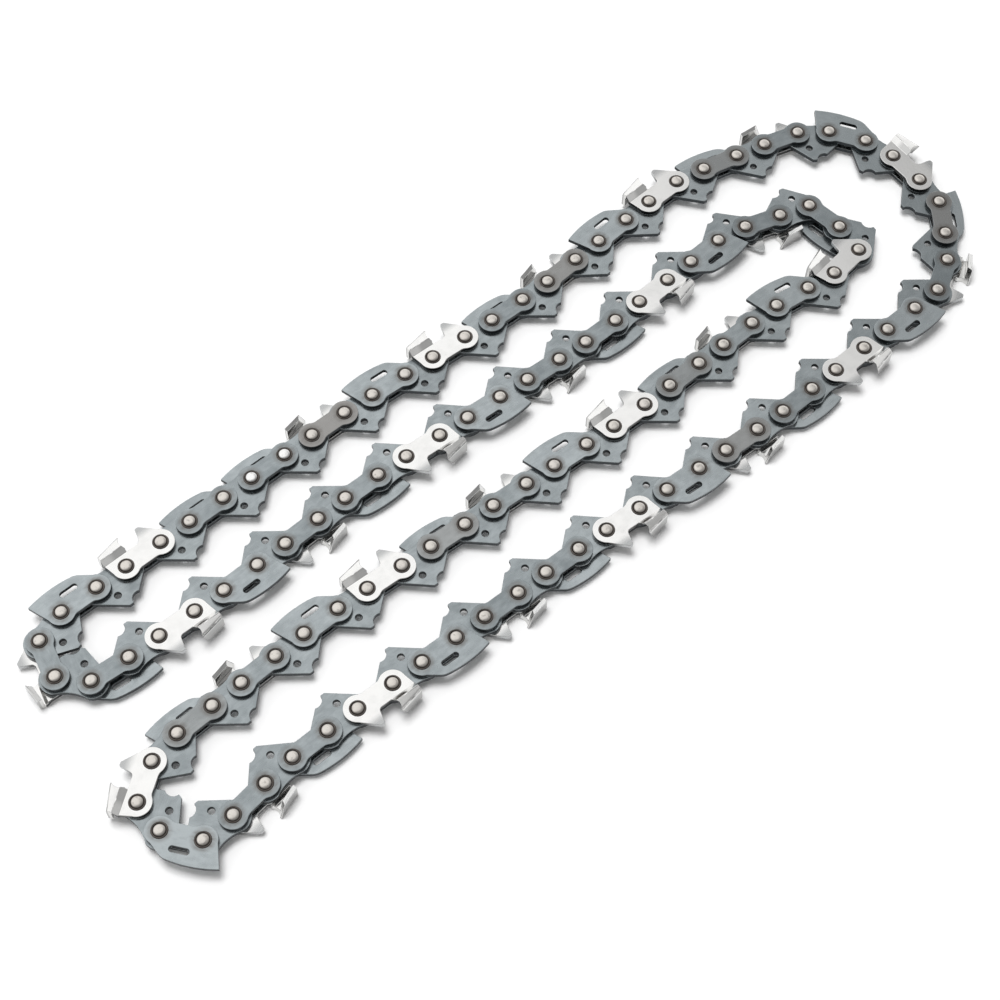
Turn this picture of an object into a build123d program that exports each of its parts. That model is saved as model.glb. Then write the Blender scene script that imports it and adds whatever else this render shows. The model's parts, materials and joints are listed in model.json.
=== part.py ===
"""A closed loop of low-profile saw chain, lying on its side and folded into a C.

Sizes are in millimetres. Each kind of link is made once, in its own frame: x runs forward along the chain
from the link's rear rivet, y points to the cutting side and z to the right-hand side, with the chain's
middle plane at z = 0. The loop is then laid on the XY plane, right-hand side up, with its strands along X.
The origin is at the bottom centre of the whole loop.
"""

import os
from math import atan2, cos, degrees, dist, radians, sin

from build123d import *

# The chain
UNITS = 57  # drive links in the loop, each with the pair of side plates in front of it
CLOSING_UNIT = 17  # the extra link that closes the loop, counted from the start of the lay
PITCH = 9.32  # half the distance over three rivets
DRIVE_SPACING = 8.56  # rivet to rivet in a drive link
GAUGE = 1.3  # thickness of a drive link
PLATE = 1.2  # thickness of a side plate
SIDE_PLAY = 0.06  # between a drive link and the side plate beside it

# Rivets
HUB_RADIUS = 2.0  # what the drive link turns on
HUB_FIT = 0.08  # radial clearance of the hub in a drive link
SHANK_RADIUS = 1.5  # through a side plate
SHANK_FIT = 0.01  # radial clearance of the shank in a side plate
HEAD_RADIUS = 2.05
BUTTON_RADIUS = 1.45  # flat top of a peened head
HEAD_HEIGHT = 0.55

# Drive links
DRIVE_EYE = 4.05  # radius round each rivet
DRIVE_DIP = 0.9  # how far the back sinks between the eyes
TANG_DEPTH = 8.4  # from the rivets to the tip
TANG_REAR = 3.5  # from the rear rivet to the tip's rear corner
TANG_WIDTH = 1.9  # width at the tip before the hook is cut
TANG_TIP = 1.1  # flat tip left behind the hook
HOOK_RADIUS = 2.0  # round bite in the front of the tang
OIL_HOLE = 0.9  # radius
OIL_HOLE_AHEAD = 2.8  # from the rear rivet
OIL_HOLE_DROP = 4.45  # below the rivets

# Side plates
PLATE_EYE = 3.45  # radius round each rivet
WAIST = 2.55  # half the width between the eyes
WAIST_FILLET = 2.0

# Guard plates
GUARD_TAIL = 5.4  # how far the point reaches behind the rear rivet
GUARD_TAIL_HEIGHT = 5.8
GUARD_CROWN = 6.6  # height at the middle of the back
GUARD_SHOULDER = 8.0  # from the rear rivet to the front shoulder
GUARD_SHOULDER_HEIGHT = 5.9
GUARD_SHOULDER_FILLET = 4.0
GUARD_EYE_ANGLE = 32  # degrees up the front eye where the brow lands
SLOT_LENGTH = 4.8
SLOT_WIDTH = 1.5
SLOT_AHEAD = 4.5  # from the rear rivet to its middle
SLOT_HEIGHT = 3.5

# Cutters
HEEL = 4.1  # how far the tooth reaches behind the rear rivet
NOSE = 2.7  # how far its cutting corner reaches ahead of the rear rivet
SIDE_SET = 1.2  # how far the tooth is cranked out beyond the side plate
CRANK_HEIGHT = 3.7  # middle of the crank
CRANK_RISE = 1.3  # height over which it is cranked
HEEL_WALL = 0.35  # side wall left at the heel between the crank and the top plate
TOP_RISE = 1.4  # how much the top plate rises from the heel to the cutting edge
TOP_REACH = 4.7  # width of the top plate, from its outer corner inwards
TOP_CORNER = 0.8  # rounding of the outer corner
CUT_ANGLE = 20  # degrees the cutting edge leans back from square
FILE_RADIUS = 2.0  # of the round groove that sharpens the edge
FILE_BITE = 0.7  # how deep that groove cuts into the tooth's front
GAUGE_REAR = 7.2  # from the rear rivet to the depth gauge's rear corner
GAUGE_HEIGHT = 6.8
GAUGE_TOP = 1.0  # length of its flat top
GAUGE_FILLET = 0.4
GULLET = 3.1  # height of the gullet's floor
GULLET_FILLET = 1.0

# The lay
INNER_GAP = 7.9  # between the cutters of the two inner strands
UPPER_GAP = 3.1  # between the tangs of the two strands on the +Y side
LOWER_GAP = 5.8  # between the tangs of the two strands on the -Y side
UPPER_TURN_EASE = 0.4  # by which the upper hairpin's radius is under half its lanes' distance
LAY_SAMPLES = 1600  # points that stand for the centre line
STRETCH_LIMITS = (0.5, 2.0)  # between which the lay's length is fitted to the chain's
HALVINGS = 50  # of the interval in each search by halving

plate_spacing = 2 * PITCH - DRIVE_SPACING
plate_face = GAUGE / 2 + SIDE_PLAY
plate_outside = plate_face + PLATE
head_top = plate_outside + HEAD_HEIGHT
half_kerf = plate_outside + SIDE_SET
crank_foot = CRANK_HEIGHT - CRANK_RISE / 2
crank_head = CRANK_HEIGHT + CRANK_RISE / 2
heel_height = crank_head + HEEL_WALL + PLATE
edge_height = heel_height + TOP_RISE
plate_bore = SHANK_RADIUS + SHANK_FIT
plate_rivets = [(0, 0), (plate_spacing, 0)]
drive_rivets = [(0, 0), (DRIVE_SPACING, 0)]

# Drive link: two eyes and a tang in one convex outline, with a sunk back and a hook bitten out of the tang
dip_radius = DRIVE_SPACING**2 / (8 * DRIVE_DIP) + DRIVE_DIP / 2
with BuildPart() as drive_link:
    with BuildSketch(Plane.XY.offset(-GAUGE / 2)):
        with BuildLine():
            for x, y in drive_rivets:
                CenterArc((x, y), DRIVE_EYE, 0, 360)
            Line((TANG_REAR, -TANG_DEPTH), (TANG_REAR + TANG_WIDTH, -TANG_DEPTH))
        make_hull()
        with Locations((DRIVE_SPACING / 2, DRIVE_EYE + dip_radius - DRIVE_DIP)):
            Circle(dip_radius, mode=Mode.SUBTRACT)
        with Locations((TANG_REAR + TANG_TIP + HOOK_RADIUS, -TANG_DEPTH)):
            Circle(HOOK_RADIUS, mode=Mode.SUBTRACT)
        with Locations((OIL_HOLE_AHEAD, -OIL_HOLE_DROP)):
            Circle(OIL_HOLE, mode=Mode.SUBTRACT)
        with Locations(*drive_rivets):
            Circle(HUB_RADIUS + HUB_FIT, mode=Mode.SUBTRACT)
    extrude(amount=GAUGE)

# Rivet: hub, shank and peened head, the same on both sides
with BuildPart() as rivet:
    with BuildSketch(Plane.XZ):
        with BuildLine():
            Polyline(
                (0, 0),
                (HUB_RADIUS, 0),
                (HUB_RADIUS, plate_face),
                (SHANK_RADIUS, plate_face),
                (SHANK_RADIUS, plate_outside),
                (HEAD_RADIUS, plate_outside),
                (BUTTON_RADIUS, head_top),
                (0, head_top),
                close=True,
            )
        make_face()
    revolve(axis=Axis.Z)
    mirror(about=Plane.XY)

# Blank that all side plates share: two eyes and a waist
with BuildSketch() as plate_blank:
    with Locations(*plate_rivets):
        Circle(PLATE_EYE)
    with Locations((plate_spacing / 2, 0)):
        Rectangle(plate_spacing, 2 * WAIST)
    fillet(plate_blank.vertices().filter_by_position(Axis.X, 0, plate_spacing), WAIST_FILLET)

# Plain tie strap
with BuildPart() as right_strap:
    with BuildSketch(Plane.XY.offset(plate_face)):
        add(plate_blank.sketch)
        with Locations(*plate_rivets):
            Circle(plate_bore, mode=Mode.SUBTRACT)
    extrude(amount=PLATE)

# Guard plate: the blank with a crowned back that ends in a point behind, and a slot
brow = radians(GUARD_EYE_ANGLE)
brow_foot = (plate_spacing + PLATE_EYE * cos(brow), PLATE_EYE * sin(brow))
tail = (-GUARD_TAIL, GUARD_TAIL_HEIGHT)
shoulder = (GUARD_SHOULDER, GUARD_SHOULDER_HEIGHT)
crown = ((GUARD_SHOULDER - GUARD_TAIL) / 2, GUARD_CROWN)
with BuildPart() as right_guard:
    with BuildSketch(Plane.XY.offset(plate_face)) as guard_face:
        with BuildLine():
            Line((-PLATE_EYE, 0), tail)
            ThreePointArc(tail, crown, shoulder)
            Polyline(shoulder, brow_foot, (plate_spacing, 0), (-PLATE_EYE, 0))
        make_face()
        fillet(guard_face.vertices().sort_by_distance(shoulder)[0], GUARD_SHOULDER_FILLET)
        add(plate_blank.sketch)
        with Locations((SLOT_AHEAD, SLOT_HEIGHT)):
            SlotOverall(SLOT_LENGTH, SLOT_WIDTH, mode=Mode.SUBTRACT)
        with Locations(*plate_rivets):
            Circle(plate_bore, mode=Mode.SUBTRACT)
    extrude(amount=PLATE)


def tooth_section(top: float) -> list[tuple[float, float]]:
    """Section across a tooth as (y, z) points: out along the crank, up and back over the chain."""
    return [
        (crank_foot, plate_face),
        (crank_foot, plate_outside),
        (crank_head, half_kerf),
        (top, half_kerf),
        (top, half_kerf - TOP_REACH),
        (top - PLATE, half_kerf - TOP_REACH),
        (top - PLATE, half_kerf - PLATE),
        (crank_head, half_kerf - PLATE),
    ]


# Tooth of a cutter: cranked out and folded over the chain, higher in front, sharpened by a round file
lean = radians(CUT_ANGLE)
corner = (NOSE, 0, half_kerf)
edge_plane = Plane(origin=corner, x_dir=(0, 1, 0), z_dir=(cos(lean), 0, -sin(lean)))
file_plane = Plane(origin=corner, x_dir=(cos(lean), 0, -sin(lean)), z_dir=(sin(lean), 0, cos(lean)))
with BuildPart() as right_tooth:
    for x, top in ((-HEEL, heel_height), (NOSE, edge_height)):
        with BuildSketch(Plane.YZ.offset(x)):
            with BuildLine():
                Polyline(*tooth_section(top), close=True)
            make_face()
    loft(ruled=True)
    fillet(right_tooth.edges().group_by(Axis.Z)[-1].sort_by(Axis.Y)[-1], TOP_CORNER)
    split(bisect_by=edge_plane, keep=Keep.BOTTOM)
    with BuildSketch(file_plane):
        with Locations((FILE_RADIUS - FILE_BITE, edge_height - FILE_RADIUS)):
            Circle(FILE_RADIUS)
    extrude(amount=2 * TOP_REACH, both=True, mode=Mode.SUBTRACT)

# Cutter: the blank with a depth gauge in front and the tooth behind, one stamping
with BuildPart() as right_cutter:
    with BuildSketch(Plane.XY.offset(plate_face)) as cutter_face:
        with BuildLine():
            Polyline(
                (-PLATE_EYE, 0),
                (-HEEL, CRANK_HEIGHT),
                (NOSE - FILE_BITE, CRANK_HEIGHT),
                (NOSE, GULLET),
                (GAUGE_REAR - GULLET_FILLET, GULLET),
                (GAUGE_REAR, GAUGE_HEIGHT),
                (GAUGE_REAR + GAUGE_TOP, GAUGE_HEIGHT),
                brow_foot,
                (plate_spacing, 0),
                close=True,
            )
        make_face()
        for x in (GAUGE_REAR + GAUGE_TOP, GAUGE_REAR):
            fillet(cutter_face.vertices().sort_by_distance((x, GAUGE_HEIGHT))[0], GAUGE_FILLET)
        fillet(cutter_face.vertices().sort_by_distance((GAUGE_REAR - GULLET_FILLET, GULLET))[0], GULLET_FILLET)
        add(plate_blank.sketch)
        with Locations(*plate_rivets):
            Circle(plate_bore, mode=Mode.SUBTRACT)
    extrude(amount=PLATE)
    add(right_tooth.part)

# Left-hand pieces mirror the right-hand ones
with BuildPart() as left_strap:
    mirror(right_strap.part, about=Plane.XY)
with BuildPart() as left_guard:
    mirror(right_guard.part, about=Plane.XY)
with BuildPart() as left_cutter:
    mirror(right_cutter.part, about=Plane.XY)

# Lanes of the four strands, apart by what stands out of the chain on each side and the gaps left between
lane_2 = edge_height + INNER_GAP / 2
lane_3 = -lane_2
lane_1 = lane_2 + 2 * TANG_DEPTH + UPPER_GAP
lane_4 = lane_3 - 2 * TANG_DEPTH - LOWER_GAP
upper_turn = (lane_1 - lane_2) / 2 - UPPER_TURN_EASE

# Corners of the centre line in running order, with the radius of each: inner hairpin, strand 2, upper
# hairpin, strand 1, outer bend, strand 4, lower hairpin and strand 3, swaying as the loop was laid down
lay_corners = [
    (101.4, lane_3 - 1.75, 0),
    (102.7, lane_3 + 6.7, 0),
    (101.5, lane_2 - 5.8, 0),
    (79.0, lane_2 + 1.3, 10),
    (30.0, lane_2 - 1.2, 200),
    (-40.0, lane_2 + 2.0, 200),
    (-85.0, lane_2, 200),
    (-127.2, lane_2, upper_turn),
    (-127.2, lane_1 - 0.5, upper_turn),
    (-32.0, lane_1 + 1.2, 200),
    (24.0, lane_1 - 1.2, 200),
    (79.5, lane_1 + 2.8, 40),
    (120.5, lane_1 - 6.6, 22),
    (130.2, lane_2 - 3.5, 20),
    (129.7, lane_3 - 4.5, 16),
    (112.5, lane_4 - 1.0, 14),
    (50.0, lane_4 - 2.5, 200),
    (-11.0, lane_4 + 0.5, 200),
    (-95.0, lane_4 + 1.5, 60),
    (-123.0, lane_4 - 2.7, 4),
    (-130.0, lane_4 + 6.5, 8),
    (-130.0, lane_3 - 7.2, 6),
    (-118.5, lane_3 - 0.4, 10),
    (-68.0, lane_3 + 2.0, 200),
    (22.0, lane_3 - 1.9, 200),
    (72.0, lane_3 - 0.7, 60),
    (91.5, lane_3 - 3.1, 20),
]
with BuildLine() as lay:
    FilletPolyline(
        *[(x, y) for x, y, radius in lay_corners],
        radius=[radius for x, y, radius in lay_corners],
        close=True,
    )
spread = [n / LAY_SAMPLES for n in range(LAY_SAMPLES)]
samples = [(point.X, point.Y) for point in lay.wire().positions(spread)]
start = min(range(LAY_SAMPLES), key=lambda n: dist(samples[n], lay_corners[0][:2]))
lay_points = samples[start:] + samples[:start]


def walk(stretch: float) -> tuple[list[tuple[float, float]], float]:
    """Rivets stepped along the lay, scaled along X by stretch, and how far they run past its start."""
    path = [(x * stretch, y) for x, y in lay_points + lay_points]
    rivets = [path[0]]
    index = 0
    share = 0.0
    for step in range(2 * UNITS):
        reach = (DRIVE_SPACING, plate_spacing)[step % 2]
        while dist(path[index + 1], rivets[-1]) < reach:
            index += 1
        (x0, y0), (x1, y1) = path[index], path[index + 1]
        low, high = 0.0, 1.0
        for _ in range(HALVINGS):
            share = (low + high) / 2
            if dist((x0 + (x1 - x0) * share, y0 + (y1 - y0) * share), rivets[-1]) < reach:
                low = share
            else:
                high = share
        rivets.append((x0 + (x1 - x0) * share, y0 + (y1 - y0) * share))
    return rivets, index + share - len(lay_points)


def closed_walk() -> list[tuple[float, float]]:
    """Rivets of the loop, with the lay stretched along X until the last one meets the first."""
    low, high = STRETCH_LIMITS
    for _ in range(HALVINGS):
        stretch = (low + high) / 2
        rivets, overrun = walk(stretch)
        if overrun > 0:
            low = stretch
        else:
            high = stretch
    return rivets


def on_lay(shape: Part, start: tuple[float, float], end: tuple[float, float]) -> Part:
    """A copy of a link, from one rivet of the loop towards the next, with the loop's underside at z = 0."""
    angle = degrees(atan2(end[1] - start[1], end[0] - start[0]))
    return shape.moved(Location((start[0], start[1], half_kerf), (0, 0, angle)))


# Kinds of side plate pair in running order: name, right-hand plate and left-hand plate
order = [
    ("left_guard", right_strap, left_guard),
    ("left_cutter", right_strap, left_cutter),
    ("right_guard", right_guard, left_strap),
    ("right_cutter", right_cutter, left_strap),
]
closing = ("closing_link", right_strap, left_guard)
kinds = [order[n % len(order)] for n in range(UNITS - 1)]
kinds.insert(CLOSING_UNIT, closing)

loop_rivets = closed_walk()
units = []
for number, (name, right_plate, left_plate) in enumerate(kinds):
    rear, middle, front = loop_rivets[2 * number : 2 * number + 3]
    pieces = [on_lay(drive_link.part, rear, middle)]
    pieces += [on_lay(plate.part, middle, front) for plate in (right_plate, left_plate)]
    pieces += [on_lay(rivet.part, middle, front), on_lay(rivet.part, front, middle)]
    units.append(Compound([solid for piece in pieces for solid in piece.solids()], label=name))

# One file for each unit, moved so that the loop stands centred over the origin
box = Compound(units).bounding_box()
to_centre = Location((-box.center().X, -box.center().Y, 0))
os.makedirs("parts", exist_ok=True)
for number, unit in enumerate(units):
    same_kind = [kind for kind, right_plate, left_plate in kinds[: number + 1]].count(unit.label)
    placed = unit.moved(to_centre)
    placed.label = unit.label if unit.label == closing[0] else f"{unit.label}_{same_kind:02d}"
    export_step(placed, f"parts/{placed.label}.step")
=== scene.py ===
"""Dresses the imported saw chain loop.

Every packed unit holds a drive link, the two side plates in front of it and two rivets. Each stamping keeps
the form that the unit gives it and gets rolled edges and its own metal. Each rivet is turned anew, with a
peened button.
"""

import json
import logging
import math
from dataclasses import dataclass, field
from enum import Enum
from typing import Any

import bmesh
import bpy
import numpy as np
from mathutils import Matrix, Vector

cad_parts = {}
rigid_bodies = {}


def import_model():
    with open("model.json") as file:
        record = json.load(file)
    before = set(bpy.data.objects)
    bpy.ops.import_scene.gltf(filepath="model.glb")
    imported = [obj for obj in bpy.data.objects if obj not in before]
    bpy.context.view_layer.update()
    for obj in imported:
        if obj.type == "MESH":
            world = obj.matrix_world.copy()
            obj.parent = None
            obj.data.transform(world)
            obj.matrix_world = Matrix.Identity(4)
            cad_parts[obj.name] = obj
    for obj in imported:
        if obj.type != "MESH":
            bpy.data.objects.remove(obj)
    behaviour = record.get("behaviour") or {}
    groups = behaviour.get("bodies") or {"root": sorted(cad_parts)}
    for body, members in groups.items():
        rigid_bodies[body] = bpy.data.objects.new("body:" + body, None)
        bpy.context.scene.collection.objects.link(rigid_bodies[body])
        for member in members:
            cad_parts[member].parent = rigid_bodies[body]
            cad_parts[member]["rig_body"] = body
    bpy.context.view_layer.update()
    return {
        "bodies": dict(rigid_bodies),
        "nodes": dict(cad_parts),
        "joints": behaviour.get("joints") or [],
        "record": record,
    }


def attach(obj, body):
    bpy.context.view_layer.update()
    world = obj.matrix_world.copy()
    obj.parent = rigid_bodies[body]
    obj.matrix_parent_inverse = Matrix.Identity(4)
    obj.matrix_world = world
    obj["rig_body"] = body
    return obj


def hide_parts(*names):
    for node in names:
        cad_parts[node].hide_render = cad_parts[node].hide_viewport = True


MM = 0.001
MERGE_DISTANCE = 1e-4 * MM
MEAN_NOISE = 0.5
WHITE = (1.0, 1.0, 1.0, 1.0)
GRAIN = "grain"
PLACE = "place"
TEMPER = "temper"
WARMTH = "warmth"
CROWN = "crown"
LOG = logging.getLogger("chain")

Axes = tuple[float, float, float]
Colour = tuple[float, float, float]
Span = tuple[float, float]
Tint = tuple[float, float]
Face = list[int]


class Metal(Enum):
    """The record's material slots."""

    LINK_STEEL = "link_steel"
    CUTTER_CHROME = "cutter_chrome"
    RIVET_STEEL = "rivet_steel"


class Role(Enum):
    """What a solid of a unit is."""

    DRIVE_LINK = "drive link"
    PLATE = "plate"
    CUTTER = "cutter"
    RIVET = "rivet"


@dataclass(frozen=True)
class Mottle:
    """A noise in a metal: its repeats for each unit of length, its finer octaves and its stretch.

    Tint, rough and relief are how strongly it colours, roughens and lifts the surface.
    """

    scale: float
    octaves: float
    stretch: Axes | None = None
    tint: float = 0.0
    rough: float = 0.0
    relief: float = 0.0


class Signal:
    """A shader socket that takes part in Python expressions."""

    def __init__(self, shading: "Shading", socket: bpy.types.NodeSocket) -> None:
        """Wraps an output socket of a node tree."""
        self.shading = shading
        self.socket = socket

    def _maths(self, operation: str, first: Any, second: Any) -> "Signal":
        """Adds a Math node.

        Args:
            operation: the Math node's operation.
            first: a signal or a number.
            second: a signal or a number.

        Returns:
            The node's result.
        """
        return self.shading.node("ShaderNodeMath", {"operation": operation}, {0: first, 1: second})

    def __add__(self, other: Any) -> "Signal":
        """Sum."""
        return self._maths("ADD", self, other)

    def __radd__(self, other: Any) -> "Signal":
        """Sum with a number in front."""
        return self._maths("ADD", other, self)

    def __sub__(self, other: Any) -> "Signal":
        """Difference."""
        return self._maths("SUBTRACT", self, other)

    def __rsub__(self, other: Any) -> "Signal":
        """Difference from a number."""
        return self._maths("SUBTRACT", other, self)

    def __mul__(self, other: Any) -> "Signal":
        """Product."""
        return self._maths("MULTIPLY", self, other)

    def __rmul__(self, other: Any) -> "Signal":
        """Product with a number in front."""
        return self._maths("MULTIPLY", other, self)

    def __abs__(self) -> "Signal":
        """Size without its sign."""
        return self._maths("ABSOLUTE", self, 0.0)

    def output(self, name: str) -> "Signal":
        """Another output of the same node."""
        return Signal(self.shading, self.socket.node.outputs[name])

    def largest(self, other: Any) -> "Signal":
        """The larger of two values."""
        return self._maths("MAXIMUM", self, other)

    def swing(self, amount: float) -> "Signal":
        """A noise's departure from its mean, times an amount."""
        return (self - MEAN_NOISE) * amount

    def step(self, span: Span) -> "Signal":
        """A smooth step.

        Args:
            span: where the step begins and where it ends.

        Returns:
            0 before the span, 1 after it and an S-shaped curve within it.
        """
        return self.shading.node(
            "ShaderNodeMapRange",
            {"interpolation_type": "SMOOTHSTEP"},
            {"Value": self, "From Min": span[0], "From Max": span[1]},
        )

    def band(self, rise: Span, fall: Span) -> "Signal":
        """1 between two spans: it rises over the first and falls over the second."""
        return self.step(rise) * (1 - self.step(fall))


class Shading:
    """A node tree under construction."""

    def __init__(self, owner: bpy.types.Material | bpy.types.World) -> None:
        """Empties the owner's node tree and takes it over."""
        owner.use_nodes = True
        self.tree = owner.node_tree
        self.tree.nodes.clear()

    def node(
        self,
        kind: str,
        settings: dict[str, Any] | None = None,
        inputs: dict[int | str, Any] | None = None,
        output: int | str = 0,
    ) -> Signal:
        """Makes one node.

        Args:
            kind: the node's type.
            settings: the node's own settings, set before its sockets.
            inputs: a value or a signal for each socket that differs from its default.
            output: the socket that the signal reads.

        Returns:
            The signal of that output.
        """
        made = self.tree.nodes.new(kind)
        for name, value in (settings or {}).items():
            setattr(made, name, value)
        for key, value in (inputs or {}).items():
            if isinstance(value, Signal):
                self.tree.links.new(value.socket, made.inputs[key])
            else:
                made.inputs[key].default_value = value
        return Signal(self, made.outputs[output] if made.outputs else None)

    def attribute(self, name: str, output: str = "Fac") -> Signal:
        """Reads a mesh attribute."""
        return self.node("ShaderNodeAttribute", {"attribute_name": name}, output=output)

    def noise(self, place: Signal, mottle: Mottle) -> Signal:
        """Noise from 0 to 1.

        Args:
            place: the coordinates, which are stretched first.
            mottle: the noise's scale, octaves and stretch.

        Returns:
            The noise, about 0.5 on average.
        """
        if mottle.stretch:
            factors = {0: place, 1: mottle.stretch}
            place = self.node("ShaderNodeVectorMath", {"operation": "MULTIPLY"}, factors)
        sizes = {"Vector": place, "Scale": mottle.scale, "Detail": mottle.octaves}
        return self.node("ShaderNodeTexNoise", {}, sizes)

    def axes(self, vector: Signal) -> tuple[Signal, Signal, Signal]:
        """The three parts of a vector."""
        first = self.node("ShaderNodeSeparateXYZ", {}, {0: vector}, output="X")
        return first, first.output("Y"), first.output("Z")

    def reach(self, x: Signal, y: Signal) -> Signal:
        """Distance of a flat place from the origin."""
        flat = self.node("ShaderNodeCombineXYZ", {}, {"X": x, "Y": y})
        return self.node("ShaderNodeVectorMath", {"operation": "LENGTH"}, {0: flat}, output="Value")

    def blend(self, share: Signal, first: Signal | Colour, second: Signal | Colour) -> Signal:
        """Mixes two colours.

        Args:
            share: 0 gives the first colour and 1 the second.
            first: a colour or its signal.
            second: a colour or its signal.

        Returns:
            The mixed colour.
        """
        pair = [c if isinstance(c, Signal) else (*c, 1.0) for c in (first, second)]
        return self.node("ShaderNodeMix", {"data_type": "RGBA"}, {0: share, 6: pair[0], 7: pair[1]}, output=2)

    def level(self) -> Signal:
        """How far a surface lies flat: 1 on a level face, 0 on a standing wall."""
        return abs(self.axes(self.node("ShaderNodeTexCoord", output="Normal"))[2])

    def bumped(self, height: Signal, depth: float, strength: float = 1.0) -> Signal:
        """A normal from a height.

        Args:
            height: the relief.
            depth: what a relief of 1 measures, in metres.
            strength: how much of the relief shows.

        Returns:
            The normal.
        """
        return self.node("ShaderNodeBump", {}, {"Strength": strength, "Distance": depth, "Height": height})

    def metal(self, colour: Signal, roughness: Signal, normal: Signal) -> None:
        """Ends a material in a metal surface.

        Args:
            colour: the metal's colour.
            roughness: its roughness.
            normal: its bumped normal.
        """
        surface = self.node(
            "ShaderNodeBsdfPrincipled",
            {},
            {"Base Color": colour, "Metallic": 1.0, "Roughness": roughness, "Normal": normal},
        )
        self.node("ShaderNodeOutputMaterial", {}, {"Surface": surface})


@dataclass(frozen=True)
class SatinSteel:
    """Blued, tumbled strip steel with near-black painted shade on its sheared walls, rubbed edges and oil
    round the rivets.

    Places are in millimetres in a link's own frame. A slant is 1 on a level face and 0 on a standing wall.
    """

    name: str = "satin_link_steel"
    pale: Colour = (0.465, 0.507, 0.522)
    dark: Colour = (0.270, 0.302, 0.315)
    warm: Colour = (0.355, 0.342, 0.328)
    # Painted shade: the near-black colour that every standing wall takes.
    wall: Colour = (0.038, 0.043, 0.047)
    rubbed: Colour = (0.480, 0.515, 0.530)
    oiled: Colour = (0.200, 0.188, 0.176)
    cloud: Mottle = Mottle(0.22, 3.0, tint=0.9, rough=0.16)
    smear: Mottle = Mottle(0.9, 3.0, (0.5, 1.0, 1.0), tint=0.8, rough=0.10)
    rolling: Mottle = Mottle(1.0, 3.0, (0.25, 3.0, 3.0), tint=0.3, relief=0.6)
    speckle: Mottle = Mottle(5.0, 1.0, relief=0.4)
    roughness: float = 0.26
    wall_roughness: float = 0.2
    relief: float = 0.02 * MM
    relief_strength: float = 0.12
    wall_slant: Span = (0.15, 0.55)
    edge_outside: Span = (0.25, 0.50)
    edge_inside: Span = (0.85, 0.97)
    rubbed_patch: Span = (0.4, 0.6)
    rubbed_share: float = 0.7
    half_plate: float = 5.04
    plate_face: Span = (0.67, 0.68)
    oil_ring: Span = (2.0, 3.4)
    oil_patch: Span = (0.3, 0.7)
    oil_film: float = 0.35
    oil_pool: float = 0.4

    def material(self) -> bpy.types.Material:
        """Clouds, smears and rolling grain follow each stamping's own length, and standing walls get dark
        painted shade.

        The oil lies where a plate is near one of its two rivets, which stand half a plate from its middle.

        Returns:
            The finished material.
        """
        made = bpy.data.materials.new(self.name)
        shading = Shading(made)
        grain = shading.attribute(GRAIN, "Vector")
        cloud = shading.noise(grain, self.cloud)
        smear = shading.noise(grain, self.smear)
        rolled = shading.noise(grain, self.rolling)
        speckle = shading.noise(grain, self.speckle)
        x, y, z = shading.axes(shading.attribute(PLACE, "Vector"))
        level = shading.level()
        standing = 1 - level.step(self.wall_slant)
        edge = level.band(self.edge_outside, self.edge_inside)
        near = 1 - shading.reach(abs(x - self.half_plate) - self.half_plate, y).step(self.oil_ring)
        pool = self.oil_film + smear.step(self.oil_patch) * self.oil_pool
        clouded = shading.attribute(TEMPER) + cloud.swing(self.cloud.tint) + smear.swing(self.smear.tint)
        blued = shading.blend(clouded + rolled.swing(self.rolling.tint), self.pale, self.dark)
        warmed = shading.blend(shading.attribute(WARMTH), blued, self.warm)
        stained = shading.blend(near * z.step(self.plate_face) * pool, warmed, self.oiled)
        worn = shading.blend(edge * speckle.step(self.rubbed_patch) * self.rubbed_share, stained, self.rubbed)
        # Painted shade: the standing walls are coloured near black.
        colour = shading.blend(standing, worn, self.wall)
        rough = self.roughness + cloud.swing(self.cloud.rough) + smear.swing(self.smear.rough)
        height = rolled * self.rolling.relief + speckle * self.speckle.relief
        normal = shading.bumped(height, self.relief, self.relief_strength)
        shading.metal(colour, rough + standing * self.wall_roughness, normal)
        return made


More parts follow.
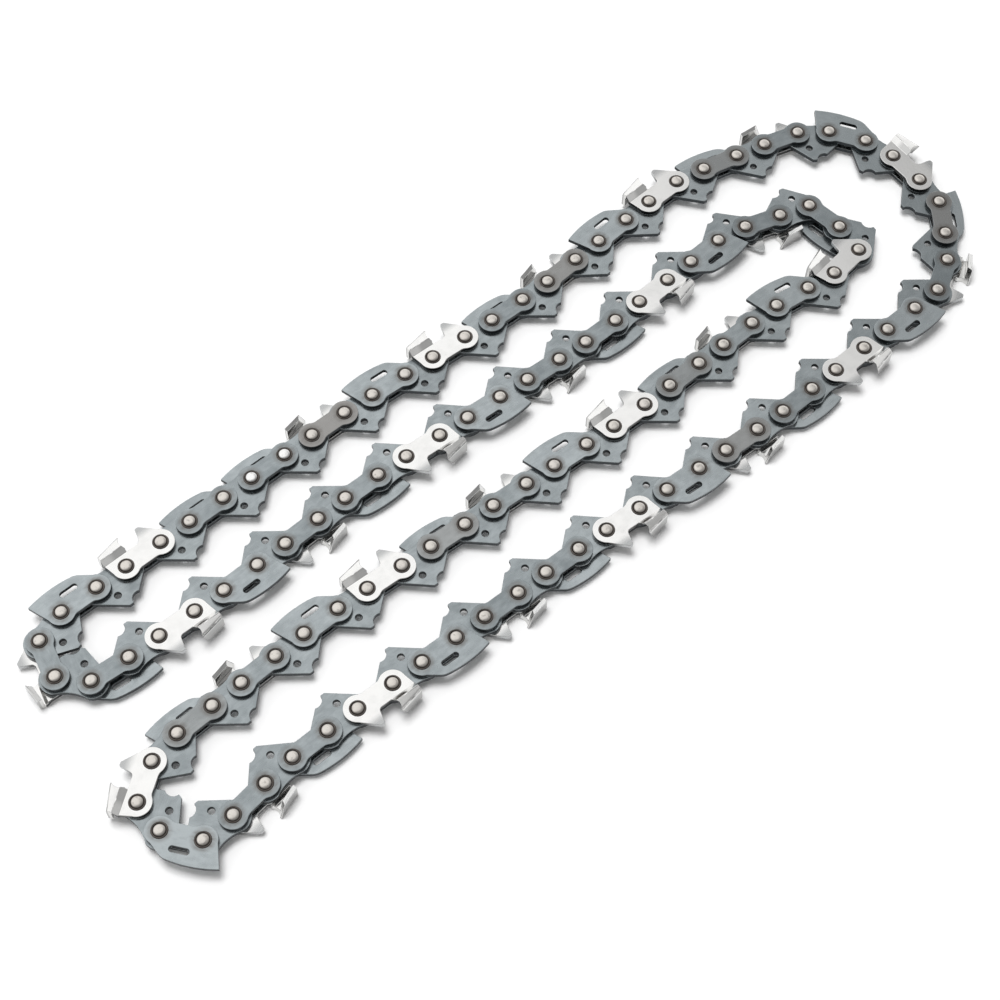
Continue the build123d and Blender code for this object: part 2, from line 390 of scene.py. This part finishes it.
@dataclass(frozen=True)
class CutterChrome:
    """Bright chrome with fine brushing, and painted shade on its plate walls, top plate, bends, depth gauge
    and inside its tooth.

    Places and slants are given as in the blued link steel.
    """

    name: str = "cutter_chrome"
    plate: Colour = (0.950, 0.945, 0.930)
    cloudy: Colour = (0.860, 0.857, 0.842)
    # Painted shade: the grey colour of the depth gauge, which is plated like the rest.
    satin: Colour = (0.500, 0.510, 0.512)
    # Painted shade: the grey colour of the bends and the crank.
    bent: Colour = (0.660, 0.660, 0.650)
    # Painted shade: the mid-grey colour of the top plate's outer face, which is chrome like the rest.
    top: Colour = (0.400, 0.400, 0.395)
    # Painted shade: the darker colour of the tooth's inside under the top plate.
    painted_inside_shade: Colour = (0.660, 0.655, 0.640)
    edge: Colour = (0.800, 0.800, 0.790)
    # Painted shade: the near-black colour of the cutter's plate walls.
    wall: Colour = (0.016, 0.017, 0.018)
    cloud: Mottle = Mottle(0.35, 3.0, rough=0.12)
    brushing: Mottle = Mottle(1.0, 2.0, (0.5, 4.0, 4.0), rough=0.10, relief=0.003)
    cloud_patch: Span = (0.4, 0.75)
    cloud_share: float = 0.6
    roughness: float = 0.18
    wall_slant: Span = (0.1, 0.6)
    face_slant: Span = (0.6, 0.9)
    bend_outside: Span = (0.05, 0.20)
    bend_inside: Span = (0.80, 0.95)
    gauge_foot: Span = (3.4, 6.0)
    gauge_rear: Span = (5.5, 6.5)
    gauge_share: float = 0.9
    gauge_roughness: float = 0.10
    tooth_front: Span = (4.5, 5.5)
    crank_foot: Span = (3.0, 3.1)
    crank_top: Span = (4.4, 4.6)
    crank_front: Span = (-2.2, -0.4)
    heel: float = -4.1
    heel_height: float = 5.9
    top_slope: float = 0.206
    top_skin: Span = (0.42, 0.78)
    free_edge: Span = (-1.5, -1.4)
    inner_face: Span = (1.45, 1.85)
    outer_face: Span = (2.5, 2.6)
    tooth_middle: float = -0.7
    edge_middle: float = 6.2
    side_lean: float = 0.18
    edge_lean: float = 0.46

    def material(self) -> bpy.types.Material:
        """Plating covers the outside. Painted shade darkens its bends, the top plate's outer face, the depth
        gauge and the tooth's inside under the top plate, and near-black painted shade lies on the plate
        walls.

        The top plate rises in a straight line from the heel to the cutting edge, so a place on the tooth lies
        on its outer skin where it is less than half a wall under that line. The crank gets its painted shade
        only in its front half. The shading lets the tooth's side fall away towards the heel, and its free
        edge towards the foot of the cutter.

        Returns:
            The finished material.
        """
        made = bpy.data.materials.new(self.name)
        shading = Shading(made)
        grain = shading.attribute(GRAIN, "Vector")
        cloud = shading.noise(grain, self.cloud)
        brushed = shading.noise(grain, self.brushing)
        x, y, z = shading.axes(shading.attribute(PLACE, "Vector"))
        level = shading.level()
        standing = 1 - level.step(self.wall_slant)
        behind = 1 - x.step(self.tooth_front)
        tooth = y.step(self.crank_top) * behind
        under = (self.heel_height + (x - self.heel) * self.top_slope - y).step(self.top_skin)
        # Painted shade: the tooth's inside, which gets the darker colour.
        inside = tooth * under * standing.largest(1 - z.step(self.inner_face))
        bend = level.band(self.bend_outside, self.bend_inside) * y.step(self.crank_foot) * behind
        # Painted shade: where the bends are greyed, the crank only in its front half.
        painted_bend_mask = bend * (1 - under * (1 - x.step(self.crank_front)))
        # Painted shade: the depth gauge, which gets the grey colour.
        gauge = y.step(self.gauge_foot) * x.step(self.gauge_rear)
        rim = 1 - z.step(self.free_edge)
        face = shading.blend(cloud.step(self.cloud_patch) * self.cloud_share, self.plate, self.cloudy)
        # Painted shade: the top plate's outer face is coloured mid grey.
        capped = shading.blend(standing * tooth * (1 - under), face, self.top)
        # Painted shade: the plate walls outside the tooth are coloured near black.
        walled = shading.blend(standing * (1 - tooth), capped, self.wall)
        # Painted shade: the bends and the crank's front half are coloured grey.
        folded = shading.blend(painted_bend_mask, walled, self.bent)
        # Painted shade: the depth gauge is coloured grey.
        plated = shading.blend(gauge * self.gauge_share, folded, self.satin)
        # Painted shade: the tooth's inside is coloured darker.
        hollow = shading.blend(inside, plated, self.painted_inside_shade)
        colour = shading.blend(rim, hollow, self.edge)
        rough = self.roughness + cloud.swing(self.cloud.rough) + brushed.swing(self.brushing.rough)
        narrowing = (x - self.tooth_middle) * (tooth * z.step(self.outer_face)) * self.side_lean
        bevelled = (y - self.edge_middle) * rim * self.edge_lean
        lean = (narrowing + bevelled) * level.step(self.face_slant)
        normal = shading.bumped(brushed * self.brushing.relief + lean, MM)
        shading.metal(colour, rough + gauge * self.gauge_roughness, normal)
        return made


@dataclass(frozen=True)
class RivetSteel:
    """Peened rivet steel: a burnished button whose edge gets painted shade, in a skirt and groove of dark
    painted shade. The edges are crown values.
    """

    name: str = "rivet_steel"
    button: Colour = (0.775, 0.735, 0.685)
    # Painted shade: the dark colour of the skirt round the button.
    skirt: Colour = (0.150, 0.132, 0.120)
    # Painted shade: the near-black colour of the groove round the button.
    groove: Colour = (0.035, 0.031, 0.028)
    peening: Mottle = Mottle(1100.0, 2.0, rough=0.2)
    roughness: float = 0.30
    relief: float = 0.03 * MM
    relief_strength: float = 0.35
    groove_edge: Span = (0.05, 0.4)
    button_edge: Span = (0.5, 0.9)
    pit: Span = (0.55, 0.75)
    pit_share: float = 0.35

    def material(self) -> bpy.types.Material:
        """The crown attribute runs from the groove's darkest painted shade over the skirt's dark painted
        shade to the bright, pitted button, whose edge the falling crown also shades.

        Returns:
            The finished material.
        """
        made = bpy.data.materials.new(self.name)
        shading = Shading(made)
        peened = shading.noise(shading.node("ShaderNodeTexCoord", output="Object"), self.peening)
        crown = shading.attribute(CROWN)
        # Painted shade: darkest in the groove, dark over the skirt.
        skirt = shading.blend(crown.step(self.groove_edge), self.groove, self.skirt)
        pitted = shading.blend(peened.step(self.pit) * self.pit_share, self.button, self.skirt)
        # Painted shade: the button's colour falls to the skirt's dark colour towards its edge.
        colour = shading.blend(crown.step(self.button_edge), skirt, pitted)
        rough = self.roughness + peened.swing(self.peening.rough)
        shading.metal(colour, rough, shading.bumped(peened, self.relief, self.relief_strength))
        return made


@dataclass
class Solid:
    """One closed solid of a unit: its corners in metres and its triangles."""

    corners: np.ndarray
    triangles: np.ndarray

    @property
    def low(self) -> np.ndarray:
        """Lowest corner of its box."""
        return self.corners.min(axis=0)

    @property
    def high(self) -> np.ndarray:
        """Highest corner of its box."""
        return self.corners.max(axis=0)

    @property
    def centre(self) -> np.ndarray:
        """Middle of its box."""
        return (self.low + self.high) / 2


@dataclass
class LinkFrame:
    """A unit's own frame, from the plates' rear rivet forward, with the cutting side to the left."""

    rear: np.ndarray
    front: np.ndarray

    @classmethod
    def of_unit(cls, rivets: list[Solid], drive_link: Solid) -> "LinkFrame":
        """The rear rivet is the one nearer to the drive link's middle.

        Args:
            rivets: the unit's two rivets.
            drive_link: its drive link.

        Returns:
            The frame.
        """
        middles = [rivet.centre for rivet in rivets]
        rear, front = sorted(middles, key=lambda middle: np.linalg.norm(middle - drive_link.centre))
        return cls(rear, front)

    def place(self, solid: Solid) -> np.ndarray:
        """Corners of a stamping in this frame.

        Args:
            solid: the stamping.

        Returns:
            For each corner, in millimetres, how far it lies forward, to the cutting side and outwards from
            the chain's middle, on whichever side the stamping is.
        """
        ahead = (self.front - self.rear)[:2]
        ahead = ahead / np.linalg.norm(ahead)
        flat = (solid.corners - self.rear)[:, :2] @ np.array([ahead, (-ahead[1], ahead[0])]).T
        outward = math.copysign(1.0, solid.centre[2] - self.rear[2])
        return np.c_[flat, (solid.corners[:, 2] - self.rear[2]) * outward] / MM


def split_solids(mesh: bpy.types.Mesh) -> list[Solid]:
    """Splits a packed unit's mesh into its solids.

    Corners at one place become one corner. Then each corner takes the lowest label among its neighbours until
    none changes, so that each solid ends with one label.

    Args:
        mesh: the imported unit's mesh of loose triangles.

    Returns:
        The solids, each with merged corners.
    """
    loose = np.empty(len(mesh.vertices) * 3, np.float32)
    mesh.vertices.foreach_get("co", loose)
    loose = loose.reshape(-1, 3)
    mesh.calc_loop_triangles()
    triangles = np.empty(len(mesh.loop_triangles) * 3, np.int32)
    mesh.loop_triangles.foreach_get("vertices", triangles)
    keys = np.round(loose / MERGE_DISTANCE).astype(np.int64)
    _, first, merged = np.unique(keys, axis=0, return_index=True, return_inverse=True)
    corners = loose[first].astype(float)
    triangles = merged.ravel()[triangles].reshape(-1, 3)
    labels = np.arange(len(corners))
    while True:
        lower = labels.copy()
        np.minimum.at(lower, triangles.ravel(), np.repeat(labels[triangles].min(axis=1), 3))
        lower = lower[lower]
        if np.array_equal(lower, labels):
            break
        labels = lower
    solids = []
    for label in np.unique(labels):
        mine = labels == label
        renumber = np.cumsum(mine) - 1
        solids.append(Solid(corners[mine], renumber[triangles[mine[triangles[:, 0]]]]))
    return solids


def add_piece(
    name: str, corners: np.ndarray, faces: list[Face], material: bpy.types.Material
) -> bpy.types.Object:
    """Puts a mesh into the scene.

    Args:
        name: the piece's name.
        corners: its corners in metres.
        faces: its faces as corner numbers.
        material: its material.

    Returns:
        The piece's object, at the origin.
    """
    mesh = bpy.data.meshes.new(name)
    mesh.from_pydata(corners, [], faces)
    mesh.polygons.foreach_set("use_smooth", np.ones(len(mesh.polygons), bool))
    mesh.materials.append(material)
    piece = bpy.data.objects.new(name, mesh)
    bpy.context.scene.collection.objects.link(piece)
    return piece


def set_attribute(piece: bpy.types.Object, name: str, values: np.ndarray) -> None:
    """Gives each corner of a piece a number or a vector.

    Args:
        piece: the piece.
        name: the attribute's name.
        values: one number or one row of three for each corner.
    """
    vector = values.ndim == 2
    made = piece.data.attributes.new(name, "FLOAT_VECTOR" if vector else "FLOAT", "POINT")
    made.data.foreach_set("vector" if vector else "value", values.astype(np.float32).ravel())


@dataclass
class Stampings:
    """The drive links, straps, guards and cutters, with the edges rolled that tumbling takes off."""

    edge: float = 0.11 * MM
    edge_segments: int = 2
    sharpest_smooth: float = 40.0
    flat: float = 0.5
    spread: float = 40.0

    def build(
        self,
        name: str,
        solids: list[Solid],
        link: LinkFrame,
        material: bpy.types.Material,
        tints: list[Tint],
        number: int,
    ) -> bpy.types.Object:
        """Makes one piece of like stampings of a unit.

        Args:
            name: the piece's name.
            solids: the stampings.
            link: the unit's own frame.
            material: their finish.
            tints: how dark and how warm each stamping's steel looks, each from 0 to 1.
            number: the unit's number, which moves its grain away from the next unit's.

        Returns:
            The piece.
        """
        counts = [len(solid.corners) for solid in solids]
        starts = np.cumsum([0] + counts[:-1])
        corners = np.concatenate([solid.corners for solid in solids])
        faces = np.concatenate([solid.triangles + start for solid, start in zip(solids, starts)])
        piece = add_piece(name, corners, faces.tolist(), material)
        places = np.concatenate([link.place(solid) for solid in solids])
        offsets = np.array([[self.spread * number, self.spread * k, 0.0] for k in range(len(solids))])
        set_attribute(piece, PLACE, places)
        set_attribute(piece, GRAIN, places + np.repeat(offsets, counts, axis=0))
        for attribute, values in zip((TEMPER, WARMTH), zip(*tints)):
            set_attribute(piece, attribute, np.repeat(values, counts))
        self._flatten(piece.data)
        self._roll_edges(piece)
        return piece

    def _flatten(self, mesh: bpy.types.Mesh) -> None:
        """Joins the triangles that lie in one plane."""
        work = bmesh.new()
        work.from_mesh(mesh)
        bmesh.ops.dissolve_limit(
            work, angle_limit=math.radians(self.flat), verts=work.verts, edges=work.edges, delimit={"NORMAL"}
        )
        work.to_mesh(mesh)
        work.free()

    def _roll_edges(self, piece: bpy.types.Object) -> None:
        """Rounds the sharp edges."""
        rolled = piece.modifiers.new("rolled_edges", "BEVEL")
        rolled.width = self.edge
        rolled.segments = self.edge_segments
        rolled.limit_method = "ANGLE"
        rolled.angle_limit = math.radians(self.sharpest_smooth)
        rolled.use_clamp_overlap = False
        rolled.harden_normals = True


@dataclass
class Rivets:
    """Turned rivets: a hub between two shanks, and on each end a skirt with a peened button.

    A point of the dome has its radius in buttons, its drop in rises of the head and its crown value. The
    groove round it has its radius in buttons and the brow has it in skirts, and both have their height in
    rises.
    """

    hub: float = 2.00 * MM
    shank: float = 1.50 * MM
    skirt: float = 2.05 * MM
    button: float = 1.45 * MM
    plate_inside: float = 0.71 * MM
    plate_outside: float = 1.91 * MM
    head_top: float = 2.46 * MM
    # Painted shade: the crown values fall towards the button's edge, which darkens it.
    dome: tuple[Axes, ...] = ((0.0, 0.0, 1.0), (0.50, 0.03, 1.0), (0.80, 0.16, 0.85), (0.98, 0.42, 0.55))
    groove: Span = (1.05, 0.22)
    brow: Span = (0.88, 0.34)
    brow_crown: float = 0.40
    skirt_crown: float = 0.10
    hub_crown: float = 0.25
    sides: int = 20
    crease: float = 40.0

    def profile(self) -> tuple[np.ndarray, np.ndarray]:
        """Half of a rivet's outline, from the top of its button down to the edge of its hub.

        Returns:
            Radius and height above the middle of each point, and the crown value of each: 1 on the button,
            0 in the groove round it, and between them on the skirt.
        """
        rise = self.head_top - self.plate_outside
        dome = [(self.button * out, self.head_top - rise * drop, crown) for out, drop, crown in self.dome]
        # Painted shade: a crown of 0 in the groove and low crowns on the skirt and its foot darken them.
        below = [
            (self.button * self.groove[0], self.plate_outside + rise * self.groove[1], 0.0),
            (self.skirt * self.brow[0], self.plate_outside + rise * self.brow[1], self.brow_crown),
            (self.skirt, self.plate_outside, self.skirt_crown),
            (self.shank, self.plate_outside, 0.0),
            (self.shank, self.plate_inside, 0.0),
            (self.hub, self.plate_inside, self.hub_crown),
        ]
        outline = np.array(dome + below)
        return outline[:, :2], outline[:, 2]

    def lathe(self, x: float, y: float, middle: float) -> tuple[np.ndarray, list[Face], np.ndarray]:
        """One rivet: the outline and its mirror image, turned about the upright line through its middle.

        A corner on step i of the outline and side j is at angle 2 pi j / sides and at the outline's radius
        and height. The two ends on the axis are single corners.

        Args:
            x: the rivet's place.
            y: the rivet's place.
            middle: height of the chain's middle.

        Returns:
            Corners, faces and the crown value of each corner.
        """
        half, crown = self.profile()
        outline = np.concatenate([half, half[::-1] * (1, -1)])[1:-1]
        values = np.concatenate([crown, crown[::-1]])[1:-1]
        angle = np.arange(self.sides) * 2 * math.pi / self.sides
        radius, height = outline[:, :1], np.repeat(outline[:, 1:], self.sides, axis=1)
        rounds = [x + radius * np.cos(angle), y + radius * np.sin(angle), middle + height]
        ends = np.array([(x, y, middle + half[0, 1]), (x, y, middle - half[0, 1])])
        corners = np.concatenate([np.stack(rounds, axis=-1).reshape(-1, 3), ends])
        rings = len(outline)
        step, side = np.meshgrid(np.arange(rings - 1), np.arange(self.sides), indexing="ij")
        here, there = step * self.sides + side, step * self.sides + (side + 1) % self.sides
        walls = np.stack([here, here + self.sides, there + self.sides, there], axis=-1).reshape(-1, 4)
        first, last = np.arange(self.sides), (rings - 1) * self.sides + np.arange(self.sides)
        top = np.stack([first, np.roll(first, -1), np.full(self.sides, rings * self.sides)], axis=-1)
        bottom = np.stack([np.roll(last, -1), last, np.full(self.sides, rings * self.sides + 1)], axis=-1)
        faces = walls.tolist() + top.tolist() + bottom.tolist()
        return corners, faces, np.concatenate([np.repeat(values, self.sides), crown[[0, 0]]])

    def build(
        self, name: str, solids: list[Solid], middle: float, material: bpy.types.Material
    ) -> bpy.types.Object:
        """Turns a unit's rivets where its packed ones stand.

        Args:
            name: the piece's name.
            solids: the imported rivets.
            middle: height of the chain's middle.
            material: their finish.

        Returns:
            The piece.
        """
        corners, faces, crowns, start = [], [], [], 0
        for solid in solids:
            x, y, _ = solid.centre
            turned, around, crown = self.lathe(x, y, middle)
            corners.append(turned)
            faces += [[corner + start for corner in face] for face in around]
            crowns.append(crown)
            start += len(turned)
        piece = add_piece(name, np.concatenate(corners), faces, material)
        set_attribute(piece, CROWN, np.concatenate(crowns))
        piece.data.set_sharp_from_angle(angle=math.radians(self.crease))
        return piece


@dataclass
class Chain:
    """The whole loop, dressed unit by unit."""

    frame: dict[str, Any]
    stampings: Stampings = field(default_factory=Stampings)
    rivets: Rivets = field(default_factory=Rivets)
    closing: str = "closing_link"
    fresh_name: str = "fresh_rivet_steel"
    fresh_button: Colour = (0.985, 0.980, 0.970)
    fresh_roughness: float = 0.26
    widest_rivet: float = 4.3 * MM
    widest_strap: float = 8.0 * MM
    thickest_plate: float = 2.0 * MM
    middle_slack: float = 0.5 * MM
    drive_temper: float = 0.46
    guard_temper: float = 0.26
    strap_temper: float = 0.76
    temper_spread: float = 0.21
    warm_share: float = 0.25
    warmth: Span = (0.3, 0.9)
    seed: int = 57

    def __post_init__(self) -> None:
        """Reads the height of the chain's middle from its first pivot and makes the metals."""
        self.middle: float = self.frame["joints"][0]["pos_m"][2]
        self.steel = SatinSteel().material()
        self.chrome = CutterChrome().material()
        self.rivet_steel = RivetSteel().material()
        self.fresh_steel = RivetSteel(
            name=self.fresh_name, button=self.fresh_button, roughness=self.fresh_roughness
        ).material()

    def dress(self) -> None:
        """Builds every unit's pieces, in the order of their names."""
        random = np.random.default_rng(self.seed)
        for number, node in enumerate(sorted(self.frame["nodes"])):
            self._dress_unit(number, node, random)

    def _role(self, solid: Solid) -> Role:
        """Tells what a solid is by its box.

        Args:
            solid: a solid of a unit.

        Returns:
            Its role. A drive link is the plain stamping that lies in the chain's middle.
        """
        width, length, height = solid.high - solid.low
        if max(width, length) < self.widest_rivet:
            return Role.RIVET
        if height > self.thickest_plate:
            return Role.CUTTER
        return Role.DRIVE_LINK if abs(solid.centre[2] - self.middle) < self.middle_slack else Role.PLATE

    def _tint(self, role: Role, solid: Solid, link: LinkFrame, random: np.random.Generator) -> Tint:
        """Picks a stamping's tint: guards are the palest, straps the darkest, and some straps are warm.

        Args:
            role: what the stamping is.
            solid: the stamping.
            link: the unit's own frame.
            random: where the tint comes from.

        Returns:
            How dark and how warm it looks, each from 0 to 1.
        """
        shift = random.uniform(-1, 1) * self.temper_spread
        warm = random.uniform(0, 1) < self.warm_share
        how_warm = random.uniform(*self.warmth)
        if role is Role.DRIVE_LINK:
            return self.drive_temper + shift, 0.0
        if np.ptp(link.place(solid)[:, 1]) * MM > self.widest_strap:
            return self.guard_temper + shift, 0.0
        return self.strap_temper + shift, how_warm if warm else 0.0

    def _dress_unit(self, number: int, node: str, random: np.random.Generator) -> None:
        """Builds one unit.

        Args:
            number: the unit's place in the order.
            node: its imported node.
            random: where its tints come from.
        """
        found: dict[Role, list[Solid]] = {role: [] for role in Role}
        for solid in split_solids(self.frame["nodes"][node].data):
            found[self._role(solid)].append(solid)
        link = LinkFrame.of_unit(found[Role.RIVET], found[Role.DRIVE_LINK][0])
        flat_roles = (Role.DRIVE_LINK, Role.PLATE)
        tints = [self._tint(role, solid, link, random) for role in flat_roles for solid in found[role]]
        links = found[Role.DRIVE_LINK] + found[Role.PLATE]
        riveting = self.fresh_steel if node == self.closing else self.rivet_steel
        plates = self.stampings.build(f"{node}_links", links, link, self.steel, tints, number)
        rivets = self.rivets.build(f"{node}_rivets", found[Role.RIVET], self.middle, riveting)
        pieces = [(plates, Metal.LINK_STEEL), (rivets, Metal.RIVET_STEEL)]
        for solid in found[Role.CUTTER]:
            cutter = self.stampings.build(f"{node}_cutter", [solid], link, self.chrome, [(0.0, 0.0)], number)
            pieces.append((cutter, Metal.CUTTER_CHROME))
        for piece, metal in pieces:
            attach(piece, self.frame["nodes"][node]["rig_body"])
            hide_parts(node)
            LOG.info("%s: %d faces of %s", piece.name, len(piece.data.polygons), metal.value)


@dataclass
class Studio:
    """White table, soft light from above and behind, and the photograph's camera.

    The spans of panel and backdrop are parts of the unit vector that points into the room: across to the
    right, away from the camera's side, and up.
    """

    floor_size: float = 3.0
    floor_drop: float = 0.05 * MM
    floor_colour: Colour = (0.97, 0.97, 0.97)
    floor_glow: float = 0.03
    floor_fade: Span = (0.24, 0.50)
    wall_level: float = 0.30
    panel_level: float = 1.02
    panel_right: Span = (0.32, 0.64)
    panel_front: Span = (-0.15, 0.25)
    panel_foot: Span = (0.40, 0.72)
    backdrop_near: float = 0.50
    backdrop_turn: Span = (-0.35, 0.25)
    backdrop_top: Span = (0.52, 0.74)
    key_place: Axes = (-0.10, 0.28, 1.68)
    key_size: float = 0.70
    key_power: float = 20.0
    aim: Axes = (-18.63 * MM, -9.91 * MM, 5.57 * MM)
    distance: float = 484.1 * MM
    azimuth: float = -40.22
    elevation: float = 61.58
    roll: float = 0.91
    lens: float = 71.99
    sensor: float = 36.0
    clip: Span = (0.01, 10.0)
    shown_rays: tuple[str, ...] = ("Is Camera Ray", "Is Glossy Ray", "Is Transmission Ray")

    def build(self) -> None:
        """Makes floor, light and camera."""
        self._floor()
        self._sky()
        self._key()
        self._camera()
        bpy.context.scene.view_settings.view_transform = "Standard"

    def _seen(self, shading: Shading) -> Signal:
        """1 for the rays that show the background: those from the camera, a mirror or glass."""
        camera, mirror, glass = (shading.node("ShaderNodeLightPath", output=ray) for ray in self.shown_rays)
        return camera.largest(mirror).largest(glass)

    def _floor(self) -> None:
        """A level white sheet that keeps the shadow, and that fades to plain white further out."""
        made = bpy.data.materials.new("white_table")
        shading = Shading(made)
        x, y, _ = shading.axes(shading.node("ShaderNodeTexCoord", output="Object"))
        plain = self.floor_glow + shading.reach(x, y).step(self.floor_fade) * (1 - self.floor_glow)
        matt = shading.node("ShaderNodeBsdfDiffuse", {}, {"Color": (*self.floor_colour, 1.0)})
        white = shading.node("ShaderNodeEmission", {}, {"Color": WHITE, "Strength": 1.0})
        mixed = shading.node("ShaderNodeMixShader", {}, {0: self._seen(shading) * plain, 1: matt, 2: white})
        shading.node("ShaderNodeOutputMaterial", {}, {"Surface": mixed})
        half = self.floor_size / 2
        across, along = np.meshgrid([-half, half], [-half, half])
        corners = np.c_[across.ravel(), along.ravel(), np.full(across.size, -self.floor_drop)]
        add_piece("white_table", corners, [[0, 1, 3, 2]], made)

    def _sky(self) -> None:
        """A bright panel overhead that fades to the right, towards the camera and down the walls.

        Round it stands a white backdrop, which the camera, mirrors and glass show. Mirrors show it dimmer on
        the camera's own side.
        """
        world = bpy.context.scene.world or bpy.data.worlds.new("studio")
        bpy.context.scene.world = world
        shading = Shading(world)
        across, away, up = shading.axes(shading.node("ShaderNodeTexCoord", output="Generated"))
        front = away.step(self.panel_front)
        panel = (1 - across.step(self.panel_right)) * front * up.step(self.panel_foot)
        ceiling = self.wall_level + panel * (self.panel_level - self.wall_level)
        backdrop = self.backdrop_near + away.step(self.backdrop_turn) * (1 - self.backdrop_near)
        room = ceiling + self._seen(shading) * (1 - up.step(self.backdrop_top)) * (backdrop - ceiling)
        level = room + shading.node("ShaderNodeLightPath", output="Is Camera Ray") * (1 - room)
        light = shading.node("ShaderNodeBackground", {}, {"Color": WHITE, "Strength": level})
        shading.node("ShaderNodeOutputWorld", {}, {"Surface": light})

    def _key(self) -> None:
        """A soft lamp beyond the loop, whose shadows fall towards the camera."""
        lamp = bpy.data.lights.new("key", "AREA")
        lamp.shape = "SQUARE"
        lamp.size = self.key_size
        lamp.energy = self.key_power
        key = bpy.data.objects.new("key", lamp)
        key.location = self.key_place
        key.rotation_euler = Vector(self.key_place).to_track_quat("Z", "Y").to_euler()
        key.visible_glossy = False
        bpy.context.scene.collection.objects.link(key)

    def _camera(self) -> None:
        """The camera stands on a ray from its aim, at the azimuth and elevation fitted to the rivets."""
        turn, rise, roll = (math.radians(angle) for angle in (self.azimuth, self.elevation, self.roll))
        back = Vector((math.sin(turn) * math.cos(rise), -math.cos(turn) * math.cos(rise), math.sin(rise)))
        right = Vector((math.cos(turn), math.sin(turn), 0.0))
        axes = Matrix((right, back.cross(right), back)).transposed() @ Matrix.Rotation(roll, 3, "Z")
        data = bpy.data.cameras.new("photo_view")
        data.lens = self.lens
        data.sensor_width = self.sensor
        data.clip_start, data.clip_end = self.clip
        camera = bpy.data.objects.new("photo_view", data)
        camera.matrix_world = Matrix.Translation(Vector(self.aim) + back * self.distance) @ axes.to_4x4()
        bpy.context.scene.collection.objects.link(camera)
        bpy.context.scene.camera = camera


def main() -> None:
    """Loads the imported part, dresses it and sets up the studio."""
    logging.basicConfig(level=logging.INFO, format="%(name)s: %(message)s")
    for leftover in list(bpy.data.objects):
        bpy.data.objects.remove(leftover)
    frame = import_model()
    Chain(frame).dress()
    Studio().build()


if __name__ == "__main__":
    main()
